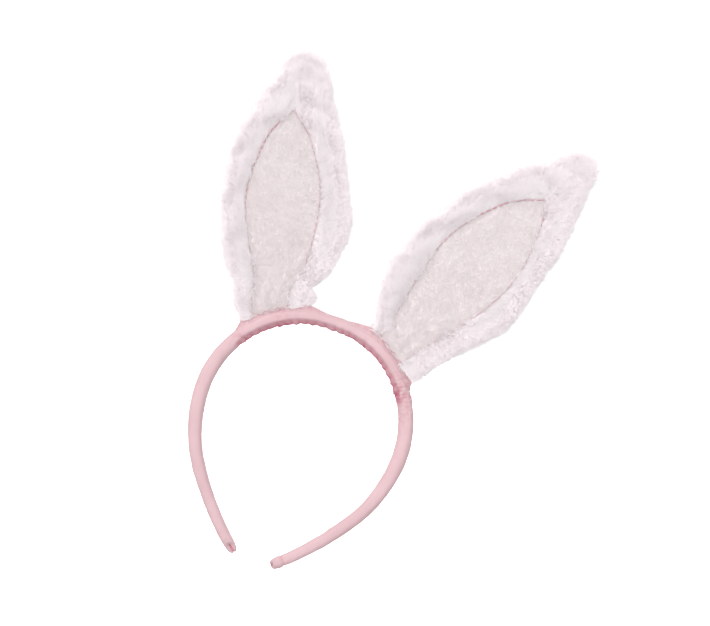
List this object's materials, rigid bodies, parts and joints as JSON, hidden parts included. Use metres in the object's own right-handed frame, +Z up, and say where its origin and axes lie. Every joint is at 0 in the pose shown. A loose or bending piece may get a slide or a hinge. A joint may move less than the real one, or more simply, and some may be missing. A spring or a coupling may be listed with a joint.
{
  "type": "animal ears headband",
  "caption": "Padded, satin-covered hoop headband with two standing faux-fur rabbit ears that fold at their sewn feet; the hoop's arms flex open.",
  "frame": {"origin": "middle of the crown's inner surface, which rests on the top of the head (mount head_seat)", "axes": "+Z up out of the head along the hoop's middle line, +X to the right as seen from the front (towards the row's right ear), and -Y towards the front, the side that shows the ears' linings"},
  "size_m": [0.2159, 0.0125, 0.3066],
  "materials": {
    "satin": "satin weave over soft padding",
    "fur": "plush faux fur, pile of a few millimetres",
    "lining": "short, dense pile",
    "wadding": "needled wadding",
    "foam": "soft open-cell foam",
    "plastic": "moulded strip",
    "wire": "bent spring wire",
    "thread": "sewing thread"
  },
  "bodies": {
    "crown": {"crown_core": "plastic", "crown_padding": "foam", "crown_sleeve": "satin", "crown_gather_stitches": "thread", "left_ear_seat": "satin", "right_ear_seat": "satin", "left_ear_tab": "lining", "right_ear_tab": "lining"},
    "left_arm": {"left_arm_core": "plastic", "left_arm_padding": "foam", "left_arm_sleeve": "satin", "left_tip_tuck": "satin"},
    "right_arm": {"right_arm_core": "plastic", "right_arm_padding": "foam", "right_arm_sleeve": "satin", "right_tip_tuck": "satin"},
    "left_ear": {"left_ear_back": "fur", "left_ear_border": "fur", "left_ear_lining": "lining", "left_ear_wadding": "wadding", "left_ear_wire": "wire", "left_ear_seam_stitches": "thread", "left_ear_foot_stitches": "thread"},
    "right_ear": {"right_ear_back": "fur", "right_ear_border": "fur", "right_ear_lining": "lining", "right_ear_wadding": "wadding", "right_ear_wire": "wire", "right_ear_seam_stitches": "thread", "right_ear_foot_stitches": "thread"}
  },
  "joints": [
    {"name": "left_arm_flex", "type": "hinge", "parent": "crown", "child": "left_arm", "pos_m": [-0.05612, 0, -0.0276], "axis": [0, 1, 0], "range_deg": [-4, 20], "stiffness_Nm_per_rad": 1},
    {"name": "right_arm_flex", "type": "hinge", "parent": "crown", "child": "right_arm", "pos_m": [0.05612, 0, -0.0276], "axis": [0, -1, 0], "range_deg": [-4, 20], "stiffness_Nm_per_rad": 1},
    {"name": "left_ear_fold", "type": "hinge", "parent": "crown", "child": "left_ear", "pos_m": [-0.04071, 0, 0.00035], "axis": [0.829, 0, 0.5592], "range_deg": [-60, 60]},
    {"name": "right_ear_fold", "type": "hinge", "parent": "crown", "child": "right_ear", "pos_m": [0.04071, 0, 0.00035], "axis": [0.829, 0, -0.5592], "range_deg": [-60, 60]}
  ]
}
